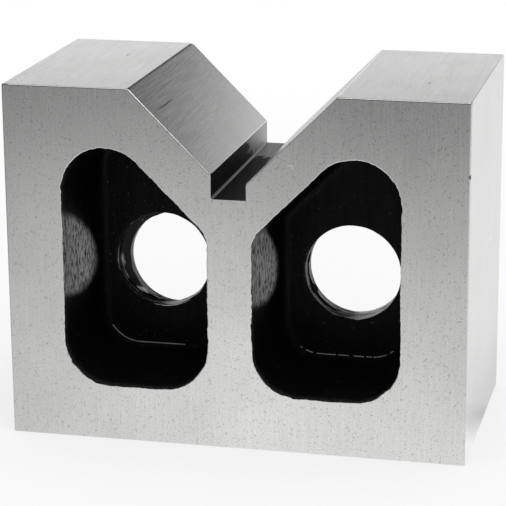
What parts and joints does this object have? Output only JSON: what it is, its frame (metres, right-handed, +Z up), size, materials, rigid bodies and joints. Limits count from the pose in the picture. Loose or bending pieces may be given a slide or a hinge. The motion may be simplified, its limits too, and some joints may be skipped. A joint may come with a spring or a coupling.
{
  "type": "v block",
  "caption": "Cast-iron vee block with a right-angled vee and relief slot along its top, and cored pockets and web windows through its ends, for holding round or square work.",
  "frame": {"origin": "centre of the ground base, on the surface the block stands on", "axes": "+X across the vee, +Y along the vee from the front end to the back end, +Z up"},
  "size_m": [0.15, 0.08, 0.1172],
  "materials": {
    "cast_iron": "ground outside and in the vee, black painted sand-cast skin in the pockets and windows"
  },
  "bodies": {
    "root": {"v_block": "cast_iron"}
  },
  "joints": []
}
